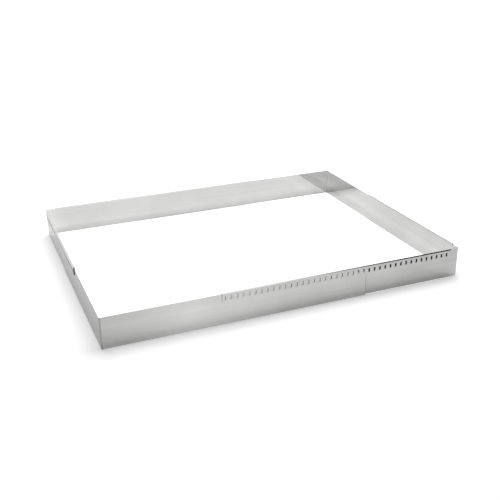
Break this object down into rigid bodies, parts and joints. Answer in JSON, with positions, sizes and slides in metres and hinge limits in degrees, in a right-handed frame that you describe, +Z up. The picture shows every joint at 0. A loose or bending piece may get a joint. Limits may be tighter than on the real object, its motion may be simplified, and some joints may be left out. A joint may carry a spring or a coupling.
{
  "type": "adjustable cake frame",
  "caption": "Bottomless rectangular cake frame of bright stainless sheet: L-shaped corners slide in slotted, folded-over lips, so that its length and width can be set.",
  "frame": {"origin": "middle of the frame at the pictured setting, on the table that it stands on", "axes": "+X along the long walls to the picture's right, +Y from the slotted front wall to the back wall, +Z up"},
  "size_m": [0.6202, 0.4808, 0.0527],
  "materials": {
    "plain_sheet": "bright rolled stainless sheet, half mirror",
    "rail_sheet": "bright rolled stainless sheet, half mirror"
  },
  "bodies": {
    "front_left": {"plain_corner_front_left": "plain_sheet"},
    "front_right": {"rail_corner_front_right": "rail_sheet"},
    "back_left": {"rail_corner_back_left": "rail_sheet"},
    "back_right": {"plain_corner_back_right": "plain_sheet"}
  },
  "joints": [
    {"name": "length_slide", "type": "slide", "parent": "front_left", "child": "front_right", "axis": [1, 0, 0], "range_m": [-0.18, 0.23]},
    {"name": "width_slide", "type": "slide", "parent": "front_left", "child": "back_left", "axis": [0, 1, 0], "range_m": [-0.18, 0.09]},
    {"name": "width_slide_right", "type": "slide", "parent": "front_right", "child": "back_right", "axis": [0, 1, 0], "range_m": [-0.18, 0.09]}
  ],
  "couplings": [
    {"joint": "width_slide_right", "follows": "width_slide", "ratio": 1}
  ]
}
